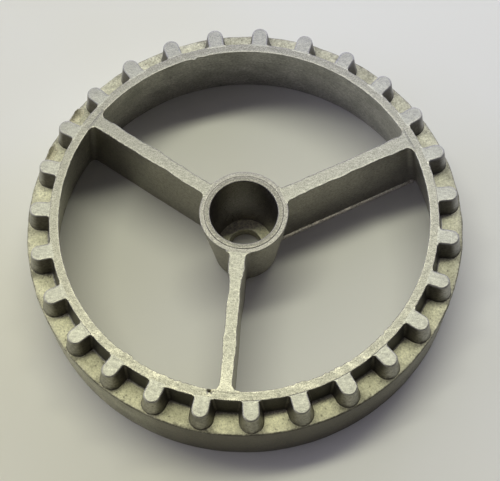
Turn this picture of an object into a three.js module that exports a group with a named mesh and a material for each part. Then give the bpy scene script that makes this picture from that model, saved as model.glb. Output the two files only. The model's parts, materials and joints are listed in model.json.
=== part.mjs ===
// Cast flywheel: a hub and three plate spokes inside a leaning rim wall, on a wide band
// whose upper ledge carries a ring of radial teeth.
//
// Frame: millimetres, origin on the bore axis in the underside, +Z along the bore towards
// the toothed face, one spoke along -Y.
//
// Every feature of the casting is a closed solid with its own name. Where two features
// meet on a flat face they touch; where they meet on a curved face they keep a small gap.

import * as THREE from "three";

// ---------------------------------------------------------------- driving dimensions, mm

const overallHeight = 31; // underside to the common top plane
const jointGap = 0.3; // gap kept between two features along a curved face

const bandRadius = 71; // outer radius of the band, at its widest
const bandDraft = 0.5; // lean of the band's outer face, degrees
const bandChamfer = 0.5; // broken edge at the ledge's rim
const ledgeDrop = 8.5; // top plane down to the ledge that carries the teeth
const ledgeWidth = 7.1; // rim wall's foot to the band's outer face

const wallThickness = 3; // across the top of the rim wall
const pocketDraft = 9.4; // lean of the rim wall, the tooth sides and the tooth ends, degrees

const toothCount = 27;
const toothTopWidth = 5.2; // across the flat top, which is also its round end's diameter
const toothFootSetback = 0.1; // tooth foot to the ledge's broken edge, on a radius
const toothRootFillet = 0.8; // round between a tooth's side and the rim wall

const spokeCount = 3;
const spokeTopWidth = 4.2; // plate thickness at the top
const spokeDraft = 1.1; // each side of the plate, degrees
const spokeRimFillet = 2;
const spokeHubFillet = 1.5;

const boreTopRadius = 11;
const boreDraft = 3.7; // the bore narrows downwards, degrees
const hubTopWall = 3.4; // round the mouth of the bore
const hubDraft = 6.9; // the barrel narrows downwards too, degrees
const floorThickness = 4.3; // shoulder at the bottom of the bore
const floorHoleRadius = 5.5;
const landWidth = 1.6; // raised ring round the mouth of the bore
const landGroove = 0.5; // width and depth of the groove that marks the ring off

const gateGaps = [18, 19]; // tooth gaps that still hold the stub of a casting gate
const gateShare = 0.9; // share of the gap that a stub fills
const gateThickness = 1.8; // at its foot, on a radius
const gateHeight = 1.8;

const rimSegments = 108; // a multiple of four and of the number of teeth
const hubSegments = 72;
const filletSteps = 4;
const endSteps = 8;
const capSteps = 4;

// ---------------------------------------------------------------- derived sizes

const lean = (degrees) => Math.tan(THREE.MathUtils.degToRad(degrees));
const ledgeHeight = overallHeight - ledgeDrop;
const wallTopRadius = bandRadius - ledgeWidth - ledgeDrop * lean(pocketDraft);
const hubTopRadius = boreTopRadius + hubTopWall;

// Radii and half widths of the drafted faces, each at a height above the underside.
const depth = (z) => overallHeight - z;
const wallOuter = (z) => wallTopRadius + depth(z) * lean(pocketDraft);
const wallInner = (z) => wallTopRadius - wallThickness + depth(z) * lean(pocketDraft);
const hubOuter = (z) => hubTopRadius - depth(z) * lean(hubDraft);
const boreAt = (z) => boreTopRadius - depth(z) * lean(boreDraft);
const spokeHalf = (z) => spokeTopWidth / 2 - depth(z) * lean(spokeDraft);
const toothHalf = (z) => toothTopWidth / 2 + depth(z) * lean(pocketDraft);
const toothFootRadius = bandRadius - bandChamfer - toothFootSetback;
const toothTip = (z) => toothFootRadius - (z - ledgeHeight) * lean(pocketDraft);

const toothPitch = (2 * Math.PI) / toothCount;
const spokePitch = (2 * Math.PI) / spokeCount;
const firstSpoke = -Math.PI / 2;

// ---------------------------------------------------------------- materials

const castFinish = (name, colour, roughness) => {
  const material = new THREE.MeshStandardMaterial({ color: colour, roughness, metalness: 0.85 });
  material.name = name;
  return material;
};
const asCast = castFinish("as_cast", 0xaeb0a2, 0.62);
const filedTop = castFinish("filed_top", 0xc4c5b6, 0.5);
const toothFinish = castFinish("tooth_cast", 0xb6b8aa, 0.58);
const boreFinish = castFinish("bore_cast", 0x9b9d92, 0.55);
const gateFinish = castFinish("gate_broken", 0xbdbb9c, 0.7);

// ---------------------------------------------------------------- shape helpers

// A point on a circle about the bore axis.
const polar = (radius, angle) =>
  new THREE.Vector2(radius * Math.cos(angle), radius * Math.sin(angle));

// Points of an arc about any centre, both ends included.
function arc(centre, radius, from, to, steps) {
  const points = [];
  for (let i = 0; i <= steps; i += 1) {
    const angle = from + ((to - from) * i) / steps;
    points.push(centre.clone().add(polar(radius, angle)));
  }
  return points;
}

// A turned ring: its section is a closed list of [radius, height], anticlockwise.
function turned(section, segments) {
  const loop = [...section, section[0]].map(([r, z]) => new THREE.Vector2(r, z));
  const geometry = new THREE.LatheGeometry(loop, segments);
  geometry.rotateX(Math.PI / 2);
  return geometry;
}

// A drafted block: the same outline drawn at the foot and at the top, joined by its sides.
// Both outlines run anticlockwise and have the same number of points.
function drafted(outlineAt, zFoot, zTop) {
  const foot = outlineAt(zFoot);
  const top = outlineAt(zTop);
  const count = foot.length;
  const positions = [];
  foot.forEach((p) => positions.push(p.x, p.y, zFoot));
  top.forEach((p) => positions.push(p.x, p.y, zTop));
  const faces = [];
  THREE.ShapeUtils.triangulateShape(foot, []).forEach(([a, b, c]) => {
    faces.push(a, c, b);
    faces.push(count + a, count + b, count + c);
  });
  for (let i = 0; i < count; i += 1) {
    const j = (i + 1) % count;
    faces.push(i, j, count + j);
    faces.push(i, count + j, count + i);
  }
  const geometry = new THREE.BufferGeometry();
  geometry.setAttribute("position", new THREE.Float32BufferAttribute(positions, 3));
  geometry.setIndex(faces);
  return geometry;
}

// The round between a radial bar's side and a circle about the bore axis, on the bar's +Y
// side, listed from the bar to the circle. The bar runs along +X and reaches `half` to each
// side. `outside` says which side of the circle it is on. The round stops one joint gap
// short of the circle, where the neighbouring feature begins.
function flare(half, radius, fillet, outside) {
  const sign = outside ? 1 : -1;
  const reach = radius + sign * fillet;
  const offset = half + fillet;
  const centre = new THREE.Vector2(Math.sqrt(reach ** 2 - offset ** 2), offset);
  const stop = radius + sign * jointGap;
  const cosine = (stop ** 2 - reach ** 2 - fillet ** 2) / (2 * fillet * reach);
  const bearing = Math.atan2(centre.y, centre.x);
  return arc(centre, fillet, -Math.PI / 2, bearing - Math.acos(cosine), filletSteps);
}

// The same points on the other side of the bar.
const mirrored = (points) => points.map((p) => new THREE.Vector2(p.x, -p.y));

// Bearing of a point about the bore axis, between -180 and 180 degrees.
const bearingOf = (point) => Math.atan2(point.y, point.x);

// Points of the arc about the bore axis that joins two points, those two left out.
function capBetween(from, to) {
  const axis = new THREE.Vector2();
  return arc(axis, from.length(), bearingOf(from), bearingOf(to), capSteps).slice(1, -1);
}

// ---------------------------------------------------------------- outlines, along +X

// A tooth: rounded into the rim wall at its root, parallel sides, a full round end.
function toothOutline(z) {
  const half = toothHalf(z);
  const root = flare(half, wallOuter(z), toothRootFillet, true);
  const endCentre = new THREE.Vector2(toothTip(z) - half, 0);
  return [
    ...mirrored(root).reverse(),
    ...arc(endCentre, half, -Math.PI / 2, Math.PI / 2, endSteps),
    ...root,
    ...capBetween(root.at(-1), mirrored(root).at(-1)),
  ];
}

// A spoke: a plate that is rounded into the hub at one end and the rim wall at the other.
function spokeOutline(z) {
  const half = spokeHalf(z);
  const hubEnd = flare(half, hubOuter(z), spokeHubFillet, true);
  const rimEnd = flare(half, wallInner(z), spokeRimFillet, false);
  return [
    ...mirrored(hubEnd).reverse(),
    ...mirrored(rimEnd),
    ...capBetween(mirrored(rimEnd).at(-1), rimEnd.at(-1)),
    ...rimEnd.reverse(),
    ...hubEnd,
    ...capBetween(hubEnd.at(-1), mirrored(hubEnd).at(-1)),
  ];
}

// A gate stub: a low lug that follows the ledge's rim for part of one tooth gap.
function gateOutline(z) {
  const rise = (z - ledgeHeight) * lean(pocketDraft);
  const outer = bandRadius - bandChamfer - rise;
  const inner = bandRadius - bandChamfer - gateThickness + rise;
  const gapHalf = toothPitch / 2 - toothHalf(ledgeHeight) / bandRadius;
  const sweep = gapHalf * gateShare;
  const axis = new THREE.Vector2();
  return [
    ...arc(axis, outer, -sweep, sweep, endSteps),
    ...arc(axis, inner, sweep, -sweep, endSteps),
  ];
}

// ---------------------------------------------------------------- sections, [radius, height]

const bandSection = [
  [wallInner(0), 0],
  [bandRadius - ledgeHeight * lean(bandDraft), 0],
  [bandRadius, ledgeHeight - bandChamfer],
  [bandRadius - bandChamfer, ledgeHeight],
  [wallInner(ledgeHeight), ledgeHeight],
];

const wallSection = [
  [wallInner(ledgeHeight), ledgeHeight],
  [wallOuter(ledgeHeight), ledgeHeight],
  [wallTopRadius, overallHeight],
  [wallTopRadius - wallThickness, overallHeight],
];

const landRadius = boreTopRadius + landWidth;
const barrelSection = [
  [boreAt(0), 0],
  [hubOuter(0), 0],
  [hubTopRadius, overallHeight],
  [landRadius + landGroove, overallHeight],
  [landRadius + landGroove / 2, overallHeight - landGroove],
  [landRadius, overallHeight],
  [boreTopRadius, overallHeight],
];

const shoulderSection = [
  [floorHoleRadius, 0],
  [boreAt(0) - jointGap, 0],
  [boreAt(floorThickness) - jointGap, floorThickness],
  [floorHoleRadius, floorThickness],
];

// ---------------------------------------------------------------- the casting

const flywheel = new THREE.Group();
flywheel.name = "flywheel";

function addFeature(name, geometry, material, angle = 0) {
  const mesh = new THREE.Mesh(geometry, material);
  mesh.name = name;
  mesh.rotation.z = angle;
  flywheel.add(mesh);
}

addFeature("rim_band", turned(bandSection, rimSegments), asCast);
addFeature("rim_wall", turned(wallSection, rimSegments), filedTop);
addFeature("hub_barrel", turned(barrelSection, hubSegments), filedTop);
addFeature("bore_shoulder", turned(shoulderSection, hubSegments), boreFinish);

for (let i = 0; i < spokeCount; i += 1) {
  const plate = drafted(spokeOutline, 0, overallHeight);
  addFeature(`spoke_${i + 1}`, plate, filedTop, firstSpoke + i * spokePitch);
}

for (let i = 0; i < toothCount; i += 1) {
  const name = `tooth_${String(i + 1).padStart(2, "0")}`;
  const block = drafted(toothOutline, ledgeHeight, overallHeight);
  addFeature(name, block, toothFinish, firstSpoke + (i + 0.5) * toothPitch);
}

gateGaps.forEach((gap, i) => {
  const lug = drafted(gateOutline, ledgeHeight, ledgeHeight + gateHeight);
  addFeature(`gate_stub_${i + 1}`, lug, gateFinish, firstSpoke + gap * toothPitch);
});

export default flywheel;
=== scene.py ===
# %% [markdown]
# # A small cast flywheel
# The real thing is one light-metal casting. A hub and three plate spokes sit inside a leaning
# rim wall, the wall stands on a wide band, and the band's ledge carries a ring of short teeth.
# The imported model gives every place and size. This lesson gives the casting its rounded edges,
# its unevenness and its finish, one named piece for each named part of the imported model.

import json
import math
import random

import bmesh
import bpy
import numpy as np
from mathutils import Matrix, Vector, noise


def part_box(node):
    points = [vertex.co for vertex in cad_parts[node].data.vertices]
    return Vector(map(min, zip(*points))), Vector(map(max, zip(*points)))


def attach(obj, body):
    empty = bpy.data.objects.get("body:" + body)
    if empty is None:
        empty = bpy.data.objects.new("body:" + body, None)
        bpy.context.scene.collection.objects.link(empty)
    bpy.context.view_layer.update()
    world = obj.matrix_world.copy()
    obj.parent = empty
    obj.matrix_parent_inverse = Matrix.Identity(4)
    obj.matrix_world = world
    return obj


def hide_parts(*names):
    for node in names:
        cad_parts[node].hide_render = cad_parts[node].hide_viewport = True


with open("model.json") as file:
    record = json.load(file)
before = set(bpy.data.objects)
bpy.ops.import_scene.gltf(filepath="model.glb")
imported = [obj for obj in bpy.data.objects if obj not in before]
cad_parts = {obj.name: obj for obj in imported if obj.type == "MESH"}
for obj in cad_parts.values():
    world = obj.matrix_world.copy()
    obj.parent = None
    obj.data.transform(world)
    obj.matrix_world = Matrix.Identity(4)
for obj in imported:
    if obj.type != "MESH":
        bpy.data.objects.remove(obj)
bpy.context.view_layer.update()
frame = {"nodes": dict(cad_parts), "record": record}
MM = 0.001
slot_names = [material["slot"] for material in frame["record"]["materials"]]
print("packed nodes:", len(frame["nodes"]), "finishes:", slot_names)

# %% [markdown]
# ## Sizes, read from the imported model
# Every piece below is drawn in millimetres. The main sizes are read from the boxes of the
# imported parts, so that the detailed pieces land exactly where the plain ones are. The leans
# of the walls are casting drafts: a casting only leaves its mould if its walls lean a little.

# %% Read the main sizes
def top_of(node):
    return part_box(node)[1].z / MM


def reach_of(node):
    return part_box(node)[1].x / MM


def lean(degrees):
    return math.tan(math.radians(degrees))


TOP = top_of("rim_wall")
LEDGE = top_of("rim_band")
BAND_RADIUS = reach_of("rim_band")
HUB_RADIUS = reach_of("hub_barrel")
SHOULDER_TOP = top_of("bore_shoulder")
POCKET_LEAN = lean(9.4)
BAND_LEAN = lean(0.5)
HUB_LEAN = lean(6.9)
BORE_LEAN = lean(3.7)
SPOKE_LEAN = lean(1.1)
WALL_THICKNESS = 3.0
BORE_RADIUS = 11.0
SHAFT_HOLE_RADIUS = 5.5
WALL_RADIUS = reach_of("rim_wall") - (TOP - LEDGE) * POCKET_LEAN
WALL_TOP_INNER = WALL_RADIUS - WALL_THICKNESS
TOOTH_COUNT = sum(node.startswith("tooth_") for node in frame["nodes"])
SPOKE_COUNT = sum(node.startswith("spoke_") for node in frame["nodes"])
TOOTH_PITCH = 2 * math.pi / TOOTH_COUNT
SPOKE_PITCH = 2 * math.pi / SPOKE_COUNT
FIRST_SPOKE = -math.pi / 2


def wall_outer(z):
    return WALL_RADIUS + (TOP - z) * POCKET_LEAN


def wall_inner(z):
    return wall_outer(z) - WALL_THICKNESS


def hub_outer(z):
    return HUB_RADIUS - (TOP - z) * HUB_LEAN


def bore_at(z):
    return BORE_RADIUS - (TOP - z) * BORE_LEAN


def off_axis(p):
    """How far a point is from the wheel's axis."""
    return math.hypot(p.x, p.y)


def polar(radius, angle, z=0.0):
    return Vector((radius * math.cos(angle), radius * math.sin(angle), z))


print(f"top {TOP:.1f}, ledge {LEDGE:.1f}, band {BAND_RADIUS:.1f}, wall {WALL_RADIUS:.2f} mm")

# %% [markdown]
# ## The camera
# The wheel lies flat and is seen from well above, a little to one side, from under half a
# metre away. At that distance the near teeth look larger than the far ones, so the distance
# matters as much as the angle.

# %% Place the camera
EYE_DISTANCE = 436.9 * MM
EYE_HEIGHT_ANGLE = math.radians(66.956)
EYE_TURN = math.radians(6.9)
EYE_ROLL = math.radians(-2.4166)
EYE_SIDE, EYE_UP = 1.585 * MM, 2.933 * MM
LENS, SENSOR_WIDTH = 91.73, 36

forward = Vector((0, math.cos(EYE_HEIGHT_ANGLE), -math.sin(EYE_HEIGHT_ANGLE)))
right = Vector((1, 0, 0))
up = right.cross(forward)
eye = right * EYE_SIDE + up * EYE_UP - forward * EYE_DISTANCE
rolled_right = math.cos(EYE_ROLL) * right + math.sin(EYE_ROLL) * up
rolled_up = math.cos(EYE_ROLL) * up - math.sin(EYE_ROLL) * right
camera_data = bpy.data.cameras.new("camera")
camera_data.lens = LENS
camera_data.sensor_width = SENSOR_WIDTH
camera_data.sensor_fit = "HORIZONTAL"
camera_data.clip_start = 10 * MM
camera = bpy.data.objects.new("camera", camera_data)
bpy.context.scene.collection.objects.link(camera)
axes = Matrix((rolled_right, rolled_up, -forward)).transposed().to_4x4()
camera.matrix_world = Matrix.Rotation(EYE_TURN, 4, "Z") @ Matrix.Translation(eye) @ axes
bpy.context.scene.camera = camera
print("camera at", [round(value, 3) for value in camera.matrix_world.translation])

# %% [markdown]
# ## Helpers for node graphs
# The floor, the room and every finish are node graphs. Four small helpers keep them readable:
# one adds a node with its settings and links, one starts an empty material, one makes a colour
# ramp from a list of stops, and one measures how far something lies in one direction.

# %% Define the graph helpers
def value_node(tree, kind, links=None, **settings):
    """Adds a node, sets its properties or plain inputs, and links the given inputs."""
    made = tree.nodes.new(kind)
    for key, value in settings.items():
        if hasattr(made, key):
            setattr(made, key, value)
        else:
            made.inputs[key.replace("_", " ").title()].default_value = value
    for key, socket in (links or {}).items():
        tree.links.new(socket, made.inputs[key])
    return made


def empty_material(name):
    made = bpy.data.materials.new(name)
    made.use_nodes = True
    made.node_tree.nodes.clear()
    return made, made.node_tree


def colour_ramp(tree, factor, stops):
    """A colour ramp through (position, colour) stops."""
    made = value_node(tree, "ShaderNodeValToRGB", {0: factor})
    ramp = made.color_ramp
    while len(ramp.elements) < len(stops):
        ramp.elements.new(0.5)
    for element, (position, colour) in zip(ramp.elements, stops):
        element.position = position
        element.color = (*colour, 1)
    return made.outputs[0]


def along_direction(tree, places, direction):
    """How far a place or an outlook lies in one direction."""
    made = value_node(tree, "ShaderNodeVectorMath", {0: places}, operation="DOT_PRODUCT")
    made.inputs[1].default_value = direction
    return made.outputs["Value"]


print("graph helpers ready")

# %% [markdown]
# ## The floor
# The wheel lies on a plain pale sheet. The sheet carries painted light: it is warmer and a
# little darker on the viewer's side and cooler and paler beyond, and a slow cloudiness breaks
# that up. It lies a hair below the wheel's underside, so that the two flat faces never share a
# plane.

# %% Build the floor
FLOOR_SIZE = 8000 * MM
FLOOR_CLEARANCE = 0.03 * MM
# Painted light on the floor: warm and a little darker near the viewer, cool and paler beyond.
FLOOR_PAINTED_LIGHT_SIDE = (3.2, 3.4, 0)
FLOOR_PAINTED_LIGHT_TINTS = [(0.05, (0.71, 0.71, 0.635)), (0.95, (0.81, 0.83, 0.90))]
paper, tree = empty_material("pale_floor")
places = value_node(tree, "ShaderNodeTexCoord").outputs["Object"]
cloudy = value_node(tree, "ShaderNodeTexNoise", {"Vector": places}, scale=9, detail=2)
painted_light_across = along_direction(tree, places, FLOOR_PAINTED_LIGHT_SIDE)
slow = value_node(tree, "ShaderNodeMath", {0: painted_light_across, 1: cloudy.outputs[0]})
tint = colour_ramp(tree, slow.outputs[0], FLOOR_PAINTED_LIGHT_TINTS)
sheet = value_node(tree, "ShaderNodeBsdfPrincipled", {"Base Color": tint}, roughness=0.6)
value_node(tree, "ShaderNodeOutputMaterial", {0: sheet.outputs[0]})

bm = bmesh.new()
bmesh.ops.create_grid(bm, x_segments=8, y_segments=8, size=FLOOR_SIZE / 2)
floor_mesh = bpy.data.meshes.new("floor")
bm.to_mesh(floor_mesh)
bm.free()
floor_mesh.materials.append(paper)
floor = bpy.data.objects.new("floor", floor_mesh)
floor.location.z = -FLOOR_CLEARANCE
bpy.context.scene.collection.objects.link(floor)
print("floor", FLOOR_SIZE, "m across")

# %% [markdown]
# ## The light
# One long soft light hangs almost overhead, a little beyond and to the left, so shadows are
# short and fall towards the viewer. A long light gives soft shadows beside a plate that lies
# across it and crisp ones beside a plate that lies along it.

# %% Build the light
LAMP_FROM = Vector((-2.7, 8.2, 31)).normalized()
LAMP_TURN = math.radians(20)
LAMP_DISTANCE = 1.1
LAMP_LENGTH, LAMP_WIDTH = 1.0, 0.15
LAMP_POWER = 5.95
LAMP_COLOUR = (1.0, 1.0, 0.75)

lamp_data = bpy.data.lights.new("long_soft_light", "AREA")
lamp_data.shape = "RECTANGLE"
lamp_data.size = LAMP_LENGTH
lamp_data.size_y = LAMP_WIDTH
lamp_data.energy = LAMP_POWER
lamp_data.color = LAMP_COLOUR
lamp = bpy.data.objects.new("long_soft_light", lamp_data)
bpy.context.scene.collection.objects.link(lamp)
level = polar(1, LAMP_TURN)
long_axis = (level - LAMP_FROM * level.dot(LAMP_FROM)).normalized()
axes = Matrix((long_axis, LAMP_FROM.cross(long_axis), LAMP_FROM)).transposed().to_4x4()
lamp.matrix_world = Matrix.Translation(LAMP_FROM * LAMP_DISTANCE) @ axes
print("lamp at", [round(value, 2) for value in lamp.matrix_world.translation])

# %% [markdown]
# ## The room
# The room fills the rest. It is bright low down, and dim overhead, where only the light hangs.
# It is also bright beyond the wheel and to the left, and dark on the viewer's side, where a
# person would stand. That is what keeps the near face of the band dark and its shadow deep.

# %% Build the room
ROOM_BY_HEIGHT = [
    (0.0, (1.15, 1.15, 1.27)),
    (0.3, (1.1, 1.1, 1.22)),
    (0.62, (0.30, 0.28, 0.31)),
    (1.0, (0.24, 0.215, 0.24)),
]
ROOM_BY_SIDE = [
    (0.0, (0.1, 0.097, 0.1)),
    (0.28, (0.14, 0.135, 0.135)),
    (0.58, (1.3, 1.3, 1.3)),
    (1.0, (1.5, 1.5, 1.5)),
]
ROOM_BRIGHT_SIDE = (-0.26, 0.46, 0)
ROOM_STRENGTH = 1.08

room = bpy.data.worlds.new("pale_room")
room.use_nodes = True
tree = room.node_tree
tree.nodes.clear()
outlook = value_node(tree, "ShaderNodeTexCoord").outputs["Generated"]
height_of = value_node(tree, "ShaderNodeSeparateXYZ", {0: outlook}).outputs["Z"]
side_of = along_direction(tree, outlook, ROOM_BRIGHT_SIDE)
side_share = value_node(tree, "ShaderNodeMath", {0: side_of})
side_share.inputs[1].default_value = 0.5
by_height = colour_ramp(tree, height_of, ROOM_BY_HEIGHT)
by_side = colour_ramp(tree, side_share.outputs[0], ROOM_BY_SIDE)
shade = value_node(
    tree, "ShaderNodeMix", {6: by_height, 7: by_side}, data_type="RGBA", blend_type="MULTIPLY"
)
shade.inputs[0].default_value = 1
sky = value_node(tree, "ShaderNodeBackground", {0: shade.outputs[2]}, strength=ROOM_STRENGTH)
value_node(tree, "ShaderNodeOutputWorld", {0: sky.outputs[0]})
bpy.context.scene.world = room
bpy.context.scene.view_settings.view_transform = "Standard"
print("room strength:", ROOM_STRENGTH)

# %% [markdown]
# ## The metal
# All surfaces are the same alloy in different states. The skin that touched the mould is dull,
# slightly yellow and finely grained, with small pits. The top plane was filed flat, so it is
# greyer and carries short strokes and flecks. Edges are rubbed bright, and a few places carry
# a painted highlight as well. Hollow corners and the ledge beside the wall carry painted shade,
# and the seam carries some grime. Four numbers stored on every vertex say how much of each
# state there is: filed, wear with painted highlight, painted shade with grime, and painted
# shade on walls, which makes walls darker than level faces. A painted light tint runs across
# the wheel, warmer on the near side and cooler beyond, for the warm lamp and the cool room.
# The patterns come from noise in the wheel's own space, so they run through from one piece to
# the next, as they do on the single casting.

# %% Define the mixing helpers
def set_or_link(tree, socket, value):
    """Links a socket, or sets a colour or a plain number."""
    if isinstance(value, bpy.types.NodeSocket):
        tree.links.new(value, socket)
    elif isinstance(value, tuple):
        socket.default_value = (*value, 1)
    else:
        socket.default_value = value


def mix_colour(tree, factor, first, second, blend="MIX"):
    made = value_node(tree, "ShaderNodeMix", data_type="RGBA", blend_type=blend)
    for index, value in ((0, factor), (6, first), (7, second)):
        set_or_link(tree, made.inputs[index], value)
    return made.outputs[2]


def mix_number(tree, factor, first, second):
    made = value_node(tree, "ShaderNodeMix")
    for index, value in ((0, factor), (2, first), (3, second)):
        set_or_link(tree, made.inputs[index], value)
    return made.outputs[0]


def sums(tree, operation, first, second):
    made = value_node(tree, "ShaderNodeMath", operation=operation)
    for index, value in enumerate((first, second)):
        set_or_link(tree, made.inputs[index], value)
    return made.outputs[0]


def spread(tree, value, low, high, new_low, new_high):
    """Stretches the range from low to high over the range from new_low to new_high."""
    made = value_node(tree, "ShaderNodeMapRange", {0: value})
    for index, number in enumerate((low, high, new_low, new_high), start=1):
        made.inputs[index].default_value = number
    return made.outputs[0]


print("mixing helpers ready")

# %% [markdown]
# ## The patterns
# Every finish shares five patterns, from slow patches to fine flecks. The file ran slantwise
# over the top, so its strokes are a noise that is turned and stretched.

# %% Define the patterns
PATCH_SIZE, FLECK_SIZE, STROKE_SIZE, PIT_SPACING = 9, 0.36, 0.8, 1.6
PIT_EDGES = 0.08, 0.2
STROKE_TURN = math.radians(38)
STROKE_STRETCH = (0.55, 1.3, 1)
STATES = ("filed", "wear_and_highlight", "shade_and_grime", "upright_shade")


def noise_of(tree, vector, size, detail, roughness=0.5):
    """A noise whose features are about size millimetres across."""
    return value_node(
        tree, "ShaderNodeTexNoise", {"Vector": vector},
        scale=1 / (size * MM), detail=detail, roughness=roughness,
    ).outputs[0]


def metal_patterns(tree, grain_size):
    """The patterns of cast metal and the four stored states, by name."""
    here = value_node(tree, "ShaderNodeTexCoord").outputs["Object"]
    holes = value_node(
        tree, "ShaderNodeTexVoronoi", {"Vector": here}, scale=1 / (PIT_SPACING * MM)
    ).outputs["Distance"]
    across_strokes = value_node(tree, "ShaderNodeMapping", {"Vector": here})
    across_strokes.inputs["Rotation"].default_value = (0, 0, STROKE_TURN)
    across_strokes.inputs["Scale"].default_value = STROKE_STRETCH
    made = {
        "here": here,
        "patches": noise_of(tree, here, PATCH_SIZE, 3),
        "grain": noise_of(tree, here, grain_size, 6, 0.65),
        "speckle": noise_of(tree, here, FLECK_SIZE, 2, 0.6),
        "strokes": noise_of(tree, across_strokes.outputs[0], STROKE_SIZE, 4, 0.7),
        "pits": spread(tree, holes, *PIT_EDGES, 1, 0),
    }
    for state in STATES:
        node = value_node(tree, "ShaderNodeAttribute", attribute_name=state)
        made[state] = node.outputs["Fac"]
    return made


print("patterns ready, states:", STATES)

# %% [markdown]
# ## The colours
# The skin is a mix of a dull and a pale tone, with grain and dark pits, and walls are less
# patchy than level faces. The filed top is a mix of its own two tones, broken up by flecks.
# Rubbed metal with its painted highlights, painted shade with some grime, the painted shade on
# walls and the painted light tint come over whichever there is.

# %% Define the colours
PIT_COLOUR = (0.09, 0.085, 0.07)
# Rubbed wear and painted highlights mix towards this colour.
RUBBED_AND_HIGHLIGHT_COLOUR = (0.5, 0.49, 0.46)
# Painted shade in hollows and on the ledge, and grime along the seam, mix towards this colour.
SHADE_AND_GRIME_COLOUR = (0.085, 0.08, 0.065)
# Painted light tint: warmer on the near side and cooler beyond, for the warm lamp and the cool
# room.
PAINTED_LIGHT_TINT_SIDE = (2.8, 6.4, 0)
PAINTED_LIGHT_TINTS = [(0.0, (1.0, 0.99, 0.87)), (0.5, (1.0, 1.0, 0.97)), (1.0, (0.98, 0.99, 1.11))]


def grey(value):
    return (value, value, value)


def skin_colour(tree, pattern, skin):
    patch = spread(tree, pattern["patches"], 0.32, 0.68, 0, 1)
    patch = mix_number(tree, sums(tree, "MULTIPLY", pattern["upright_shade"], 0.7), patch, 0.5)
    grain_tone = colour_ramp(tree, pattern["grain"], [(0.3, grey(0.5)), (0.7, grey(1.4))])
    colour = mix_colour(tree, patch, *skin)
    colour = mix_colour(tree, 1.0, colour, grain_tone, "MULTIPLY")
    return mix_colour(tree, sums(tree, "MULTIPLY", pattern["pits"], 0.45), colour, PIT_COLOUR)


def filed_colour(tree, pattern, filed, flecks):
    fleck_tones = [(0.36, grey(1 - 1.13 * flecks)), (0.64, grey(1 + 0.9 * flecks))]
    fleck_tone = colour_ramp(tree, pattern["speckle"], fleck_tones)
    colour = mix_colour(tree, spread(tree, pattern["strokes"], 0.3, 0.7, 0, 1), *filed)
    return mix_colour(tree, 1.0, colour, fleck_tone, "MULTIPLY")


def weathered_and_painted_light(tree, pattern, colour, rubbed_and_highlit, upright_tone):
    """A colour with wear and painted highlights, painted shade with grime, painted shade on walls
    and a painted light tint over it.
    """
    colour = mix_colour(tree, rubbed_and_highlit, colour, RUBBED_AND_HIGHLIGHT_COLOUR)
    # Painted shade with grime, broken up by the grain.
    shade_and_grime_breakup = spread(tree, pattern["grain"], 0.35, 0.65, 0.9, 0.45)
    shade_and_grime_amount = sums(tree, "MULTIPLY", pattern["shade_and_grime"], shade_and_grime_breakup)
    colour = mix_colour(tree, shade_and_grime_amount, colour, SHADE_AND_GRIME_COLOUR)
    # Painted shade on walls.
    upright_shaded_colour = mix_colour(tree, 1.0, colour, upright_tone, "MULTIPLY")
    colour = mix_colour(tree, pattern["upright_shade"], colour, upright_shaded_colour)
    # Painted light tint across the wheel.
    painted_light_share = sums(tree, "ADD", along_direction(tree, pattern["here"], PAINTED_LIGHT_TINT_SIDE), 0.5)
    return mix_colour(tree, 1.0, colour, colour_ramp(tree, painted_light_share, PAINTED_LIGHT_TINTS), "MULTIPLY")


print("colours ready")

# %% [markdown]
# ## One graph for every finish
# The graph puts the colours together. The same patterns drive the bump and the roughness, so
# that a pit is dark and deep in the same place, and rubbed metal is bright and smooth.

# %% Define the cast metal
SKIN = (0.38, 0.375, 0.32), (0.57, 0.56, 0.49)
FILED = (0.212, 0.212, 0.205), (0.33, 0.33, 0.322)


def cast_metal(
    name, skin=SKIN, filed=FILED, metal=0.9, rough=0.4, grain_size=0.8, depth=0.05,
    upright_tone=(0.72, 0.70, 0.70), flecks=0.3,
):
    """A cast finish. skin and filed are pairs of a dull and a pale colour, sizes are in mm."""
    made, tree = empty_material(name)
    pattern = metal_patterns(tree, grain_size)
    speckle, grain = pattern["speckle"], pattern["grain"]

    skin_part = skin_colour(tree, pattern, skin)
    filed_part = filed_colour(tree, pattern, filed, flecks)
    colour = mix_colour(tree, pattern["filed"], skin_part, filed_part)
    # Rubbed wear and painted highlights, broken up by flecks.
    rubbed_and_highlit = spread(tree, speckle, 0.35, 0.6, 0.05, 0.5)
    rubbed_and_highlit = sums(tree, "MULTIPLY", pattern["wear_and_highlight"], rubbed_and_highlit)
    colour = weathered_and_painted_light(tree, pattern, colour, rubbed_and_highlit, upright_tone)

    skin_height = sums(tree, "SUBTRACT", grain, sums(tree, "MULTIPLY", pattern["pits"], 0.5))
    stroke_height = sums(tree, "MULTIPLY", pattern["strokes"], 0.3)
    filed_height = sums(tree, "ADD", stroke_height, sums(tree, "MULTIPLY", speckle, 0.65))
    height = mix_number(tree, pattern["filed"], skin_height, filed_height)
    bump = value_node(tree, "ShaderNodeBump", {"Height": height})
    bump.inputs["Strength"].default_value = 1
    bump.inputs["Distance"].default_value = depth * MM

    gloss = spread(tree, grain, 0.3, 0.7, rough - 0.06, rough + 0.1)
    gloss = sums(tree, "ADD", gloss, sums(tree, "MULTIPLY", pattern["filed"], 0.02))
    gloss = sums(tree, "ADD", gloss, sums(tree, "MULTIPLY", rubbed_and_highlit, -0.1))
    surface = value_node(
        tree, "ShaderNodeBsdfPrincipled",
        {"Base Color": colour, "Roughness": gloss, "Normal": bump.outputs[0]},
    )
    surface.inputs["Metallic"].default_value = metal
    value_node(tree, "ShaderNodeOutputMaterial", {0: surface.outputs[0]})
    return made


print("cast metal defined")
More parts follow.
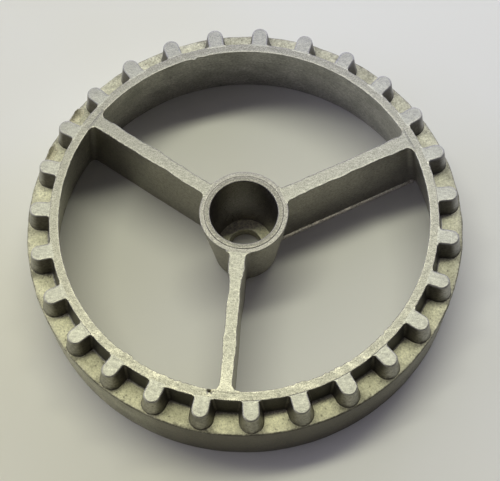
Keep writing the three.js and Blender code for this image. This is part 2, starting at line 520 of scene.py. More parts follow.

# %% [markdown]
# ## The finishes
# The band keeps the bare skin. The wall, the hub, the spokes and the teeth are filed on top.
# The land round the bore's mouth is darker. The bore's wall is smoother, because a core made
# it, and its colour is darker as painted shade inside the bore. The bearing seat keeps a pale
# skin. The flash strip along one spoke's foot is bare bright metal, and the broken gates show
# pale fresh metal with little shine.

# %% Make the finishes
LAND = (0.14, 0.137, 0.135), (0.23, 0.225, 0.22)
# The upright tones below are painted shade on the walls of each finish.
skin_finish = cast_metal(
    "cast_skin", skin=((0.37, 0.366, 0.29), (0.69, 0.684, 0.56)),
    metal=0.65, rough=0.5, grain_size=0.6, depth=0.14, upright_tone=(0.30, 0.285, 0.28),
)
rim_finish = cast_metal(
    "filed_rim", filed=((0.225, 0.224, 0.213), (0.355, 0.353, 0.338)),
    rough=0.41, upright_tone=(0.17, 0.165, 0.165),
)
hub_finish = cast_metal(
    "filed_hub", filed=((0.23, 0.225, 0.225), (0.37, 0.365, 0.36)), rough=0.48
)
land_finish = cast_metal("hub_land", skin=LAND, filed=LAND, rough=0.45)
bore_finish = cast_metal(
    "bore_cast", skin=((0.46, 0.45, 0.35), (0.72, 0.71, 0.55)), metal=0.7, rough=0.5
)
# Painted shade: the bore's wall is coloured darker, as the shade inside the bore.
bore_wall_shaded_finish = cast_metal(
    "bore_wall", skin=((0.19, 0.184, 0.185), (0.38, 0.37, 0.36)),
    metal=0.92, rough=0.3, grain_size=0.6, depth=0.02,
)
spoke_finish = cast_metal("filed_spoke", rough=0.38, upright_tone=(0.7, 0.68, 0.66), flecks=0.24)
flash_finish = cast_metal(
    "rubbed_flash", skin=((0.92, 0.85, 0.76), (1.0, 0.94, 0.86)),
    metal=1.0, rough=0.1, grain_size=0.6, depth=0.004, upright_tone=(1.0, 1.0, 1.0),
)
tooth_finish = cast_metal(
    "tooth_cast", skin=((0.30, 0.295, 0.26), (0.56, 0.55, 0.48)),
    filed=((0.275, 0.278, 0.277), (0.42, 0.425, 0.422)),
    rough=0.42, grain_size=0.9, depth=0.07, upright_tone=(0.36, 0.345, 0.35), flecks=0.17,
)
gate_finish = cast_metal(
    "gate_break", skin=((0.50, 0.48, 0.37), (0.82, 0.79, 0.64)),
    metal=0.25, rough=0.6, grain_size=0.5, depth=0.08, upright_tone=(0.9, 0.88, 0.84),
)
print("materials made:", len([m for m in bpy.data.materials if m.node_tree]))

# %% [markdown]
# ## Turned pieces
# Turned pieces come from a closed section that is swept round the axis. Its corners are
# rounded, because cast metal never has a knife edge.

# %% Define the section helpers
ARC_STEPS = 5


def rounded_section(corners, spacing):
    """A closed outline through (radius, height, rounding) corners, with extra points along it."""
    arcs = []
    for i, (radius, z, bend) in enumerate(corners):
        here = Vector((radius, z))
        back = (Vector(corners[i - 1][:2]) - here).normalized()
        ahead = (Vector(corners[(i + 1) % len(corners)][:2]) - here).normalized()
        if not bend:
            arcs.append([here])
            continue
        half = back.angle(ahead) / 2
        centre = here + (back + ahead).normalized() * bend / math.sin(half)
        start = here + back * bend / math.tan(half) - centre
        end = here + ahead * bend / math.tan(half) - centre
        turn = math.pi - 2 * half
        arcs.append([
            centre + (start * math.sin(turn * (1 - t)) + end * math.sin(turn * t)) / math.sin(turn)
            for t in (step / ARC_STEPS for step in range(ARC_STEPS + 1))
        ])
    outline = []
    for i, arc in enumerate(arcs):
        outline += arc
        start, end = arc[-1], arcs[(i + 1) % len(arcs)][0]
        pieces = max(1, round((end - start).length / spacing))
        outline += [start.lerp(end, step / pieces) for step in range(1, pieces)]
    return outline


def turned(outline, segments):
    """Rings of points, one at each angle about the axis."""
    angles = (2 * math.pi * i / segments for i in range(segments))
    return [[polar(p.x, angle, p.y) for p in outline] for angle in angles]


def smooth_step(value, low, high):
    t = min(1.0, max(0.0, (value - low) / (high - low)))
    return t * t * (3 - 2 * t)


def move_out(p, distance):
    """Moves a point away from the axis, or towards it."""
    scale = 1 + distance / off_axis(p)
    p.x *= scale
    p.y *= scale


print("section helpers ready")

# %% [markdown]
# ## Unevenness
# Every point is pushed by the same two noises, a slow one and a quick one. They depend on the
# place only, so pieces that meet stay together.

# %% Define the unevenness
SWELLS = [(7.0, 0.07), (1.9, 0.03)]  # spacing and height, mm
noise.seed_set(7)


def uneven(p):
    """The casting's own unevenness, in millimetres. It almost dies out at the filed top."""
    moved = sum((noise.noise_vector(p / spacing) * height for spacing, height in SWELLS), Vector())
    moved.z *= 1 - 0.8 * smooth_step(p.z, TOP - 0.6, TOP - 0.1)
    return p + moved


print("swells, mm:", SWELLS)

# %% [markdown]
# ## The state of the surface
# The state is read off the shape itself. Where neighbouring vertices lie below a vertex's
# tangent plane the edge is sharp and gets rubbed. Where they lie above it the corner is hollow
# and gets painted crease shade. Walls get painted shade by how far they are from level. Each
# number is then shared half and half with the neighbours, to soften it.

# %% Define the surface state
FILED_DEPTHS = TOP - 0.4, TOP - 0.2
LEVEL_ENOUGH = 0.55
RUBBED_BENDS = 0.7, 2.3  # per mm
# How hollow a corner must be for painted crease shade.
CREASE_SHADE_BENDS = 0.6, 1.8
# How far from level a face must be to take the painted wall shade.
UPRIGHT_LEANS = 0.2, 0.7  # one minus the normal's vertical part


def read_array(collection, key, width, kind=float):
    """One property of a whole collection, as an array of rows."""
    values = np.empty(len(collection) * width, dtype=kind)
    collection.foreach_get(key, values)
    return values.reshape(-1, width)


def ramp(values, low, high):
    return np.clip((values - low) / (high - low), 0, 1)


def surface_state(mesh):
    """Stores filed, wear, painted crease shade and painted wall shade on each vertex, from how the
    surface bends there.
    """
    count = len(mesh.vertices)
    places = read_array(mesh.vertices, "co", 3) / MM
    normals = read_array(mesh.vertex_normals, "vector", 3)
    first, second = read_array(mesh.edges, "vertices", 2, np.int64).T
    step = places[second] - places[first]
    size = np.maximum((step**2).sum(1), 1e-6)
    sharpest = np.full(count, -9.0)
    deepest = np.full(count, 9.0)
    for index, sign in ((first, -2), (second, 2)):
        bend = sign * (step * normals[index]).sum(1) / size
        np.maximum.at(sharpest, index, bend)
        np.minimum.at(deepest, index, bend)
    level_share = np.abs(normals[:, 2])
    state = {
        "filed": ramp(places[:, 2], *FILED_DEPTHS) * (normals[:, 2] > LEVEL_ENOUGH),
        "wear_and_highlight": ramp(sharpest, *RUBBED_BENDS),
        # Hollow corners: painted crease shade.
        "shade_and_grime": ramp(-deepest, *CREASE_SHADE_BENDS),
        # Walls: painted shade.
        "upright_shade": ramp(1 - level_share, *UPRIGHT_LEANS),
    }
    for name, values in state.items():
        around = np.zeros(count)
        shares = np.zeros(count)
        for here, there in ((first, second), (second, first)):
            np.add.at(around, here, values[there])
            np.add.at(shares, here, 1)
        soft = 0.5 * values + 0.5 * around / np.maximum(shares, 1)
        stored = mesh.attributes.new(name, "FLOAT", "POINT")
        stored.data.foreach_set("value", soft.astype(np.float32))


print("surface state ready")

# %% [markdown]
# ## From rings to a named piece
# One helper joins the rings into a closed mesh, stores the state of its surface, and hides the
# imported node that the new piece stands in for.

# %% Define how a piece is made
SHARPEST_SMOOTH_ANGLE = math.radians(50)
MERGE_DISTANCE = 0.002 * MM


def cast_piece(name, rings, closed, node, material):
    """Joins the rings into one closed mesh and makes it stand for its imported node."""
    bm = bmesh.new()
    made = [[bm.verts.new(uneven(p) * MM) for p in ring] for ring in rings]
    count = len(made[0])
    for i in range(len(made) if closed else len(made) - 1):
        here, there = made[i], made[(i + 1) % len(made)]
        for k in range(count):
            n = (k + 1) % count
            bm.faces.new((here[k], there[k], there[n], here[n]))
    if not closed:
        for ring in (made[0], made[-1]):
            bm.faces.new(ring)
    bmesh.ops.remove_doubles(bm, verts=bm.verts, dist=MERGE_DISTANCE)
    bmesh.ops.recalc_face_normals(bm, faces=bm.faces)
    for vertex in bm.verts:
        vertex.co.z = max(vertex.co.z, 0)
    mesh = bpy.data.meshes.new(name)
    bm.to_mesh(mesh)
    bm.free()
    mesh.shade_smooth()
    mesh.set_sharp_from_angle(angle=SHARPEST_SMOOTH_ANGLE)
    surface_state(mesh)
    mesh.materials.append(material)
    piece = bpy.data.objects.new(name, mesh)
    bpy.context.scene.collection.objects.link(piece)
    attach(piece, "root")
    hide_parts(node)
    return piece


print("pieces can be made")

# %% [markdown]
# ## Changing a finished piece
# Two helpers change a finished piece: one goes through its vertices with their stored numbers,
# and one gives some of its faces another finish.

# %% Define how a piece is changed
def points_and_states(piece, *keys):
    """Each vertex's place in mm, then its stored numbers, whose value can be changed."""
    stored = (piece.data.attributes[key].data for key in keys)
    for vertex, *numbers in zip(piece.data.vertices, *stored):
        yield vertex.co / MM, *numbers


def finish_where(piece, material, test):
    """Gives another finish to the faces whose centre in mm and normal pass a test."""
    piece.data.materials.append(material)
    index = len(piece.data.materials) - 1
    for face in piece.data.polygons:
        if test(face.center / MM, face.normal):
            face.material_index = index


print("pieces can be changed")

# %% [markdown]
# ## The band
# The band is the heavy outer ring. Its underside rests on the floor, its outer face is almost
# upright, and its top is the ledge between the teeth. The two mould halves met at the ledge's
# outer edge, so a thin ragged line of flash runs round it.

# %% Shape the band
ROUND_SEGMENTS = 810
SEAM_OUT, SEAM_UP = 0.25, 0.1
band_outline = rounded_section(
    [
        (wall_inner(0), 0, 0.5),
        (BAND_RADIUS - LEDGE * BAND_LEAN, 0, 0.6),
        (BAND_RADIUS, LEDGE, 0.45),
        (wall_inner(LEDGE), LEDGE, 0),
    ],
    spacing=0.8,
)
band_rings = turned(band_outline, ROUND_SEGMENTS)
for ring in band_rings:
    for p in ring:
        near_edge = smooth_step(off_axis(p), BAND_RADIUS - 0.9, BAND_RADIUS - 0.2)
        near_edge *= smooth_step(p.z, LEDGE - 1.2, LEDGE - 0.5)
        ragged = max(0.0, noise.noise(p / 5.0)) * SEAM_OUT + 0.06 * noise.noise(p / 1.1)
        move_out(p, near_edge * ragged)
        p.z += near_edge * SEAM_UP * noise.noise(p / 2.5)
band = cast_piece("band_casting", band_rings, True, "rim_band", skin_finish)
print("band:", len(band.data.vertices), "points")

# %% [markdown]
# ## Painted shade, wear and dirt on the band
# The painted shade on the band's outer face is darkest on the near side, a little paler to the
# right and much paler to the left. The side towards the hub keeps almost none of it, so it is
# almost as pale as the level skin. Painted shade lies on the ledge beside the wall and the
# teeth, and there is a little more of it on the far half. The seam line is dirty all round,
# with rubbed spots.

# %% Paint shade and wear on the band
# The share of painted wall shade left on faces towards the hub.
INSIDE_TONE = 0.05
SEAM_DIRT = 0.75
# Painted shade on the ledge beside the wall and the teeth, and more on the far half.
LEDGE_PAINTED_SHADE, FAR_LEDGE_PAINTED_SHADE = 0.32, 0.24


def faces_hub(p):
    """Whether a point of the wall or the band is on the side towards the hub."""
    return off_axis(p) < wall_inner(p.z) + WALL_THICKNESS / 2


for p, rubbed_and_highlit, shade_and_grime_level, upright_shade in points_and_states(band, "wear_and_highlight", "shade_and_grime", "upright_shade"):
    radius = off_axis(p)
    leftwards = -p.x / radius
    # Painted shade on the band's walls: darkest towards the viewer, paler to the right, much paler
    # to the left.
    upright_shade.value *= (
        1.1 - 0.85 * smooth_step(leftwards, 0.0, 0.7) - 0.35 * smooth_step(-leftwards, 0.5, 0.9)
    )
    if faces_hub(p):
        # Faces towards the hub keep little of the painted wall shade.
        upright_shade.value *= INSIDE_TONE
    if radius > BAND_RADIUS - 0.4 and LEDGE - 0.7 < p.z < LEDGE + 0.3:
        rubbed_and_highlit.value = max(0.0, noise.noise(p / 2.5)) * 0.8
        shade_and_grime_level.value = SEAM_DIRT + 0.5 * noise.noise(p / 4)
    elif p.z > LEDGE - 0.4:
        turns = (math.atan2(p.y, p.x) - FIRST_SPOKE) / TOOTH_PITCH
        to_tooth = 0.5 - abs(turns - round(turns))
        by_wall = 1 - smooth_step(radius, wall_outer(LEDGE), wall_outer(LEDGE) + 1.6)
        by_tooth = 1 - smooth_step(to_tooth, 0.19, 0.34)
        # Painted shade on the ledge beside the wall and the teeth, and more on the far half.
        shade_and_grime_level.value = max(by_wall, by_tooth) * (LEDGE_PAINTED_SHADE + 0.5 * noise.noise(p / 1.8))
        shade_and_grime_level.value += FAR_LEDGE_PAINTED_SHADE * smooth_step(p.y, 0, 45)
finish_where(band, rim_finish, lambda p, normal: off_axis(p) < wall_inner(p.z) + 0.3)
print("band finishes:", [material.name for material in band.data.materials])

# %% [markdown]
# ## The rim wall
# The wall leans inwards as it rises, the way the mould's draft made it. Its top was filed, and
# the file rolled a ragged burr over the inner edge in places. A small blow-hole sits in the
# top beside one spoke. The wall's foot runs into the ledge with a small round. The near part of
# the top carries a painted highlight in short bright streaks.

# %% Build the rim wall
BURR_PLACES = [(-107, 5), (-121, 4), (-69, 3.5), (-58, 4), (-36, 7), (110, 2.5)]  # degrees
LEAST_BURR, MOST_BURR = 0.22, 1.2
BLOW_HOLE = polar(60.2, math.radians(-95))
BLOW_HOLE_DEPTH = 1.3
wall_outline = rounded_section(
    [
        (wall_inner(LEDGE), LEDGE, 0),
        (wall_outer(LEDGE) + 1.4, LEDGE - 0.4, 0),
        (wall_outer(LEDGE) + 1.2, LEDGE - 0.03, 0),
        (wall_outer(LEDGE), LEDGE, 0.7),
        (WALL_RADIUS, TOP, 0.22),
        (WALL_TOP_INNER, TOP, 0.22),
    ],
    spacing=0.42,
)
wall_rings = turned(wall_outline, ROUND_SEGMENTS)
for ring in wall_rings:
    for p in ring:
        radius = off_axis(p)
        angle = math.degrees(math.atan2(p.y, p.x))
        bumps = (math.exp(-(((angle - place) / width) ** 2)) for place, width in BURR_PLACES)
        chewed = min(LEAST_BURR + sum(bumps), MOST_BURR)
        inner_edge = smooth_step(p.z, TOP - 0.7, TOP - 0.1)
        inner_edge *= smooth_step(WALL_TOP_INNER + 0.8 - radius, 0, 0.8)
        outer_edge = smooth_step(p.z, TOP - 0.5, TOP - 0.1)
        outer_edge *= smooth_step(radius, WALL_RADIUS - 0.4, WALL_RADIUS - 0.1)
        bite = noise.noise(p / 1.3) + 0.5 * noise.noise(p / 0.55)
        shift = outer_edge * 0.12 * noise.noise(p / 1.1)
        shift -= inner_edge * chewed * (0.22 + 0.5 * bite)
        move_out(p, shift)
        p.z += inner_edge * chewed * 0.08 * bite
        if p.z > TOP - 0.5:
            from_hole = (p.to_2d() - BLOW_HOLE.to_2d()).length
            p.z -= BLOW_HOLE_DEPTH * (1 - smooth_step(from_hole, 0.3, 0.85))
wall = cast_piece("wall_casting", wall_rings, True, "rim_wall", rim_finish)
for p, rubbed_and_highlit, upright_shade in points_and_states(wall, "wear_and_highlight", "upright_shade"):
    if p.z > TOP - 0.3:
        # Painted highlight in short streaks on the near part of the top.
        streak = smooth_step(noise.noise(Vector((p.x / 5, p.y / 2.2, 3))), -0.05, 0.3)
        rubbed_and_highlit.value += streak * smooth_step(-p.y, 15, 50)
    # Faces towards the hub keep little of the painted wall shade.
    if faces_hub(p):
        upright_shade.value *= INSIDE_TONE
print("wall:", len(wall.data.vertices), "points")

# %% [markdown]
# ## The hub
# The hub is a barrel that narrows downwards. Round the mouth of its bore stands a smooth raised
# land, marked off by a fine groove that fades in places.

# %% Build the hub
HUB_SEGMENTS = 240
LAND_WIDTH = 1.6
LAND_RISE = 0.03
GROOVE = 0.5
LAND_RADIUS = BORE_RADIUS + LAND_WIDTH
hub_outline = rounded_section(
    [
        (bore_at(0), 0, 0.3),
        (hub_outer(0), 0, 0.5),
        (HUB_RADIUS, TOP, 0.3),
        (LAND_RADIUS + GROOVE * 0.7, TOP, 0.1),
        (LAND_RADIUS + GROOVE * 0.35, TOP - GROOVE * 0.45, 0.1),
        (LAND_RADIUS, TOP + LAND_RISE, 0.12),
        (BORE_RADIUS, TOP + LAND_RISE, 0.35),
    ],
    spacing=0.5,
)
hub_rings = turned(hub_outline, HUB_SEGMENTS)
for ring in hub_rings:
    for p in ring:
        groove = 1 - smooth_step(abs(off_axis(p) - BORE_RADIUS - LAND_WIDTH - 0.2), 0.1, 0.5)
        faint = 0.55 + 0.45 * noise.noise(Vector((p.x / 6, p.y / 6, 2)))
        faint *= 0.35 + 0.65 * smooth_step(-p.y, -6, 8)
        if p.z > TOP - 1 and groove > 0:
            p.z += (TOP - p.z) * groove * (1 - faint)


def on_bore_wall(p, normal):
    return p.z < TOP - 0.25 and off_axis(p) < bore_at(p.z) + 0.5


def on_land(p, normal):
    return p.z > TOP - 0.3 and off_axis(p) < LAND_RADIUS - 0.1 and not on_bore_wall(p, normal)


hub = cast_piece("hub_casting", hub_rings, True, "hub_barrel", hub_finish)
finish_where(hub, bore_wall_shaded_finish, on_bore_wall)
finish_where(hub, land_finish, on_land)
print("hub:", len(hub.data.vertices), "points")

# %% [markdown]
# ## The bearing shoulder
# The bore narrows a little towards the shoulder at its bottom, whose top is the bearing seat
# and whose hole lets the shaft through. The shoulder runs a little into the barrel.

# %% Build the shoulder
SHOULDER_OVERLAP = 0.4
shoulder_outline = rounded_section(
    [
        (SHAFT_HOLE_RADIUS, 0, 0.3),
        (bore_at(0) + SHOULDER_OVERLAP, 0.02, 0),
        (bore_at(SHOULDER_TOP) + SHOULDER_OVERLAP, SHOULDER_TOP, 0),
        (SHAFT_HOLE_RADIUS, SHOULDER_TOP, 0.4),
    ],
    spacing=0.45,
)
shoulder_rings = turned(shoulder_outline, HUB_SEGMENTS)
shoulder = cast_piece(
    "shoulder_casting", shoulder_rings, True, "bore_shoulder", bore_finish
)
print("shoulder:", len(shoulder.data.vertices), "points")

# %% [markdown]
# ## Bars with rounded edges
# A spoke and a tooth are both bars seen from above: two mirrored sides that are drawn again at
# each height, with the mould's draft. The sides end in rounds that meet the rim or the hub,
# and run on inside it.

# %% Define the ends of a bar
FLARE_STEPS = 6


def flare(half, radius, fillet, outside):
    """The round between a bar's side and a circle about the axis, from the bar to the circle."""
    reach = radius + fillet if outside else radius - fillet
    offset = half + fillet
    centre = Vector((math.sqrt(reach**2 - offset**2), offset))
    bearing = math.atan2(centre.y, centre.x)
    first = -math.pi / 2
    last = bearing - math.pi if outside else bearing
    angles = (first + (last - first) * step / FLARE_STEPS for step in range(FLARE_STEPS + 1))
    return [centre + fillet * Vector((math.cos(a), math.sin(a))) for a in angles]


def moved_along_radius(point, radius, distances):
    """Copies of a point that lies on a circle, each one moved out by its distance."""
    return [point * ((radius + distance) / radius) for distance in distances]


def between(start, end, pieces):
    """The points that divide a line into equal pieces, without its ends."""
    return [start.lerp(end, k / pieces) for k in range(1, pieces)]


print("bar ends ready")

# %% [markdown]
# ## Rings round a bar
# A ring of points runs up one side, across the top, down the other side and back underneath.
# The heights of its points lie closer together where the bottom and the top edge are rounded.

# %% Define the rings and the levels
def bar_rings(side_at, levels, across):
    """side_at(height, inset) lists one side's points. levels are (height, inset) pairs."""
    sides = [side_at(z, inset) for z, inset in levels]
    rings = []
    for station in range(len(sides[0])):
        left = [Vector((s[station].x, s[station].y, z)) for s, (z, _) in zip(sides, levels)]
        right_side = [Vector((p.x, -p.y, p.z)) for p in left]
        top = between(left[-1], right_side[-1], across)
        bottom = between(right_side[0], left[0], across)
        rings.append(left + top + right_side[::-1] + bottom)
    return rings


def quarter_turn(steps):
    """The sine and the cosine at equal steps of a quarter turn, without its end."""
    angles = (math.pi / 2 * step / ARC_STEPS for step in range(steps))
    return [(math.sin(angle), math.cos(angle)) for angle in angles]


def round_levels(foot, top, bottom_round, top_round, spacing):
    """Heights from foot to top, with the inset that rounds the bottom and the top edge."""
    made = [
        (foot + bottom_round * (1 - cosine), bottom_round * (1 - sine))
        for sine, cosine in quarter_turn(ARC_STEPS)
    ]
    low, high = foot + bottom_round, top - top_round
    pieces = max(1, round((high - low) / spacing))
    made += [(low + (high - low) * k / pieces, 0.0) for k in range(pieces)]
    made += [
        (high + top_round * sine, top_round * (1 - cosine))
        for sine, cosine in quarter_turn(ARC_STEPS + 1)
    ]
    return made


def turn_about_axis(rings, angle):
    spin = Matrix.Rotation(angle, 3, "Z")
    return [[spin @ p for p in ring] for ring in rings]


print("bar rings ready")

# %% [markdown]
# ## The sides of a spoke
# Each spoke is a plate as deep as the wheel. Its top was filed by hand, so its two edges
# wander and no two spokes are equally thick. The tops run on over the hub and the wall, where
# the same file stroke crossed them. The first spoke widens towards the hub. The second one
# kept a strip of flash along its foot, on the near side.

# %% Define a spoke's side and its filing
SPOKE_HUB_ROUND, SPOKE_RIM_ROUND = 1.5, 2.0
SPOKE_STEPS = 90
THIN_SPOKE = 4.2
EXTRA_LEAN = 0.6  # of the draft, for each extra millimetre of thickness
FLASH_WIDTH, FLASH_HEIGHT, FLASH_FOOT = 0.92, 1.45, 0.1
FLASH_LEVELS = (0.5, 0.8, 1.15, 1.53, 1.56)
MIDDLE_STRIP = 0.3  # mm each side of the middle line, where the two wanders blend
ACROSS_SPOKE = 9


def spoke_side(thickness):
    lean_here = SPOKE_LEAN * (1 + (thickness - THIN_SPOKE) * EXTRA_LEAN)

    def side_at(z, inset):
        half = thickness / 2 - (TOP - z) * lean_here - inset
        hub_end = flare(half, hub_outer(z), SPOKE_HUB_ROUND + inset, True)
        rim_end = flare(half, wall_inner(z), SPOKE_RIM_ROUND + inset, False)
        middle = between(hub_end[0], rim_end[0], SPOKE_STEPS)
        inside_hub = moved_along_radius(hub_end[-1], hub_outer(z), (-1.3, -0.6))
        inside_rim = moved_along_radius(rim_end[-1], wall_inner(z), (0.8, 1.7))
        return inside_hub + hub_end[::-1] + middle + rim_end + inside_rim

    return side_at


def first_spoke_width(x):
    """The first spoke splays towards the hub and has a slight waist beyond that."""
    splay = 0.22 * (1 - smooth_step(x, 19, 25))
    waist = 0.1 * math.exp(-(((x - 28) / 3) ** 2))
    return 1 + splay - waist


def file_by_hand(rings, number, shift):
    """Lets the two top edges wander, most at the top and not at all at the foot."""
    for p in (p for ring in rings for p in ring):
        if number == 0:
            p.y *= first_spoke_width(p.x)
        side = math.copysign(1, p.y) if abs(p.y) > MIDDLE_STRIP else p.y / MIDDLE_STRIP
        seed = number * 37.0 + side * 5.3
        wander = 0.36 * noise.noise(Vector((p.x / 6.5, seed, 0)))
        nick = 0.17 * noise.noise(Vector((p.x / 1.9, seed, 4)))
        nick += 0.08 * noise.noise(Vector((p.x / 0.7, seed, 9)))
        height = smooth_step(p.z, 6, TOP)
        edge = smooth_step(p.z, TOP - 2.5, TOP)
        p.y += side * (height * wander + edge * nick)
        if number == 1 and p.y < 0 and p.x < wall_inner(0) - 1:
            p.y -= FLASH_WIDTH * min(1.0, max(0.0, 1 - (p.z - FLASH_FOOT) / FLASH_HEIGHT))
        p.y += shift
        over = max(p.x - WALL_TOP_INNER, HUB_RADIUS - p.x)
        if p.z > TOP - 0.6:
            p.z += 0.03 - 0.25 * smooth_step(over, 0.5, 1.6)
    return rings


print("spoke helpers ready")

# %% [markdown]
# ## The three spokes
# Each plate has its own thickness, and the first stands a little to one side of its radius.
# The outer end of the first carries a painted highlight, and the flash on the second is bare
# metal.

# %% Build the spokes
SPOKE_EDGE, SPOKE_BOTTOM_EDGE = 0.3, 0.25
SPOKE_LEVEL_SPACING = 1.3
SPOKE_THICKNESS = {"spoke_1": 4.2, "spoke_2": 4.9, "spoke_3": 4.5}
SPOKE_SHIFT = {"spoke_1": -0.7, "spoke_2": 0.0, "spoke_3": 0.0}


def on_flash(p, normal):
    return 0.05 < p.z < FLASH_LEVELS[-1] - 0.01 and normal.y < -0.3


spokes = []
for number in range(SPOKE_COUNT):
    node = f"spoke_{number + 1}"
    levels = round_levels(0, TOP, SPOKE_BOTTOM_EDGE, SPOKE_EDGE, SPOKE_LEVEL_SPACING)
    levels = sorted(levels + [(z, 0.0) for z in FLASH_LEVELS])
    rings = bar_rings(spoke_side(SPOKE_THICKNESS[node]), levels, ACROSS_SPOKE)
    rings = file_by_hand(rings, number, SPOKE_SHIFT[node])
    rings = turn_about_axis(rings, FIRST_SPOKE + number * SPOKE_PITCH)
    spoke = cast_piece(f"{node}_casting", rings, False, node, spoke_finish)
    spokes.append(spoke)
    print(node, len(spoke.data.vertices), "points")

for p, rubbed_and_highlit in points_and_states(spokes[0], "wear_and_highlight"):
    # Painted highlight on the top of the first spoke's outer end.
    if p.z > TOP - 0.6:
        rubbed_and_highlit.value += 0.75 * smooth_step(-p.y, 46, 57)
finish_where(spokes[1], flash_finish, on_flash)

# %% [markdown]
# ## The sides of a tooth
# The teeth are short radial blocks with a full round end. Their sides and ends lean with the
# mould's draft, their top edges are worn round, and their feet run into the ledge and the wall.

# %% Define a tooth's side and its levels
TOOTH_FOOT_ROUND = 0.28
TOOTH_ROOT_ROUND = 0.8
TOOTH_SIDE_LEAN = POCKET_LEAN * 0.85
TOOTH_TIP_FOOT = BAND_RADIUS - 0.6
TOOTH_SIDE_STEPS, TOOTH_END_STEPS = 6, 12
TOOTH_ROOT_DEPTHS = (-1.8, -1.3, -0.9, -0.6, -0.3)
TOOTH_EDGE = 0.45
TOOTH_LEVEL_SPACING = 0.8
ACROSS_TOOTH = 8


def tooth_side(width):
    def side_at(z, inset):
        half = width / 2 + (TOP - z) * TOOTH_SIDE_LEAN - inset
        tip = TOOTH_TIP_FOOT - (z - LEDGE) * POCKET_LEAN - inset
        root = flare(half, wall_outer(z), TOOTH_ROOT_ROUND + inset, True)
        end_centre = Vector((tip - half, 0))
        straight = between(root[0], end_centre + Vector((0, half)), TOOTH_SIDE_STEPS)
        angles = (math.pi / 2 * k / TOOTH_END_STEPS for k in range(TOOTH_END_STEPS + 1))
        round_end = [end_centre + half * Vector((math.sin(a), math.cos(a))) for a in angles]
        inside = moved_along_radius(root[-1], wall_outer(z), TOOTH_ROOT_DEPTHS)
        return inside + root[::-1] + straight + round_end

    return side_at


def tooth_levels(edge):
    """The foot flares out into the ledge, so its insets are negative."""
    made = [(LEDGE - 0.35, -TOOTH_FOOT_ROUND)]
    made += [
        (LEDGE - 0.03 + TOOTH_FOOT_ROUND * (1 - cosine), -TOOTH_FOOT_ROUND * (1 - sine))
        for sine, cosine in quarter_turn(ARC_STEPS)
    ]
    above = round_levels(LEDGE + TOOTH_FOOT_ROUND, TOP, 0.0, edge, TOOTH_LEVEL_SPACING)
    return made + above[ARC_STEPS:]


print("tooth levels:", len(tooth_levels(TOOTH_EDGE)))

# %% [markdown]
# ## The ring of teeth
# Each tooth differs a little from the next, as cast teeth do: in width, in how far its edge is
# worn, in the slope of its top, and in where the file stopped between the tooth and the wall.

# %% Build the teeth
TOOTH_TOP_WIDTH = 5.2
SEAM_PLACES = (-0.9, -0.75, -0.2)
# Rubbed tooth edges are brightened further, as a painted highlight.
TOOTH_WEAR_AND_HIGHLIGHT = 1.8
# Painted shade: the round end gets less of the wall shade than the sides.
TOOTH_END_RADII = 66.0, 69.0  # the end face is paler than the sides
dice = random.Random(11)
for number in range(TOOTH_COUNT):
    node = f"tooth_{number + 1:02d}"
    width = TOOTH_TOP_WIDTH + dice.uniform(-0.15, 0.15)
    edge = TOOTH_EDGE + dice.uniform(-0.08, 0.12)
    crown = dice.uniform(0.02, 0.1)
    tilt = dice.uniform(-0.02, 0.02)
    seam = WALL_RADIUS + dice.choice(SEAM_PLACES)
    rings = bar_rings(tooth_side(width), tooth_levels(edge), ACROSS_TOOTH)
    for p in (p for ring in rings for p in ring):
        if p.z > TOP - 0.6:
            out = smooth_step(p.x, WALL_RADIUS, WALL_RADIUS + 1.2)
            p.z += 0.02 - 0.22 * (1 - smooth_step(p.x, seam - 0.3, seam + 0.4))
            fall = crown * smooth_step(p.x, WALL_RADIUS + 3, TOOTH_TIP_FOOT - 1)
            p.z += out * (tilt * p.y - fall)
    angle = FIRST_SPOKE + (number + 0.5) * TOOTH_PITCH
    rings = turn_about_axis(rings, angle)
    tooth = cast_piece(f"{node}_casting", rings, False, node, tooth_finish)
    for p, rubbed_and_highlit, upright_shade in points_and_states(tooth, "wear_and_highlight", "upright_shade"):
        reach = p.dot(polar(1, angle))
        # Rubbed edges, brightened further as a painted highlight.
        rubbed_and_highlit.value *= TOOTH_WEAR_AND_HIGHLIGHT
        # Painted wall shade, less of it on the round end.
        upright_shade.value *= 1.1 - 0.75 * smooth_step(reach, *TOOTH_END_RADII)
print("teeth:", TOOTH_COUNT, "with", len(tooth.data.vertices), "points each")

# %% [markdown]
# ## The gate stubs
# Metal flowed into the mould through two gates at the ledge's edge. Where they were broken off,
# a low ragged lug still follows the edge and rises towards one end. Its crest is narrow, its
# inner slope is long and clean, and only its outer foot carries painted shade.

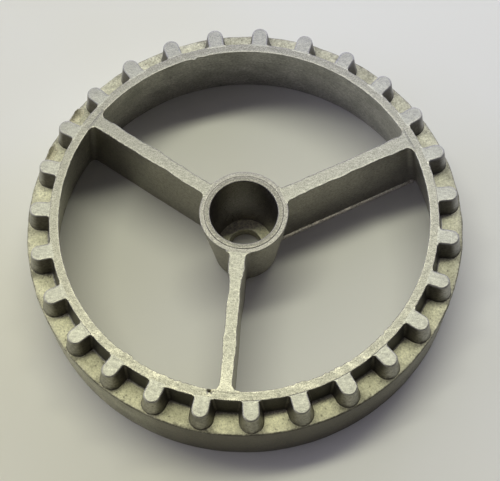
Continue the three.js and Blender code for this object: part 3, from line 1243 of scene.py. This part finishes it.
# %% Build the gate stubs
GATE_GAPS = (18, 19)
GATE_HEIGHT = top_of("gate_stub_1") - LEDGE
GATE_SWEEP = math.radians(3.05)
GATE_STEPS = 48
GATE_BELOW = 0.35
GATE_SECTION = [  # how far in from the edge, and the share of the full height there
    (0.15, 0.0), (0.22, 0.35), (0.32, 0.7), (0.45, 0.93), (0.65, 1.0), (0.9, 0.8),
    (1.15, 0.52), (1.5, 0.33), (2.0, 0.22), (2.6, 0.12), (3.4, -0.05),
]
fine_section = [
    (a[0] + (b[0] - a[0]) * k / 3, a[1] + (b[1] - a[1]) * k / 3)
    for a, b in zip(GATE_SECTION, GATE_SECTION[1:])
    for k in range(3)
] + GATE_SECTION[-1:]
for number, gap in enumerate(GATE_GAPS, start=1):
    node = f"gate_stub_{number}"
    rings = []
    for t in (station / GATE_STEPS for station in range(GATE_STEPS + 1)):
        around = FIRST_SPOKE + gap * TOOTH_PITCH + GATE_SWEEP * (1 - 2 * t)
        rise = 0.3 + 0.75 * smooth_step(t, 0.15, 0.68)
        fall = 1 - 0.8 * smooth_step(t, 0.78, 0.96)
        tall = GATE_HEIGHT * rise * fall * (0.4 + 0.6 * smooth_step(t, 0.0, 0.08))
        ring = []
        for inward, share in fine_section:
            lift = share * tall
            p = polar(BAND_RADIUS - 0.05 - inward, around, LEDGE + lift - 0.1)
            lump = noise.noise(p / 1.2) + 0.25 * noise.noise(p / 0.6)
            p += Vector((0, 0, 0.5)) * lump * min(1.0, lift / GATE_HEIGHT + 0.1)
            ring.append(p)
        inner, outer = ring[-1], ring[0]
        under = [inner.lerp(outer, k / 5) - Vector((0, 0, GATE_BELOW)) for k in range(6)]
        rings.append(ring + under)
    stub = cast_piece(f"{node}_casting", rings, False, node, gate_finish)
    for p, shade_and_grime_level in points_and_states(stub, "shade_and_grime"):
        # Painted shade along the outer foot.
        shade_and_grime_level.value = 0.8 * smooth_step(off_axis(p), BAND_RADIUS - 1.0, BAND_RADIUS - 0.6)
    print(node, len(stub.data.vertices), "points")
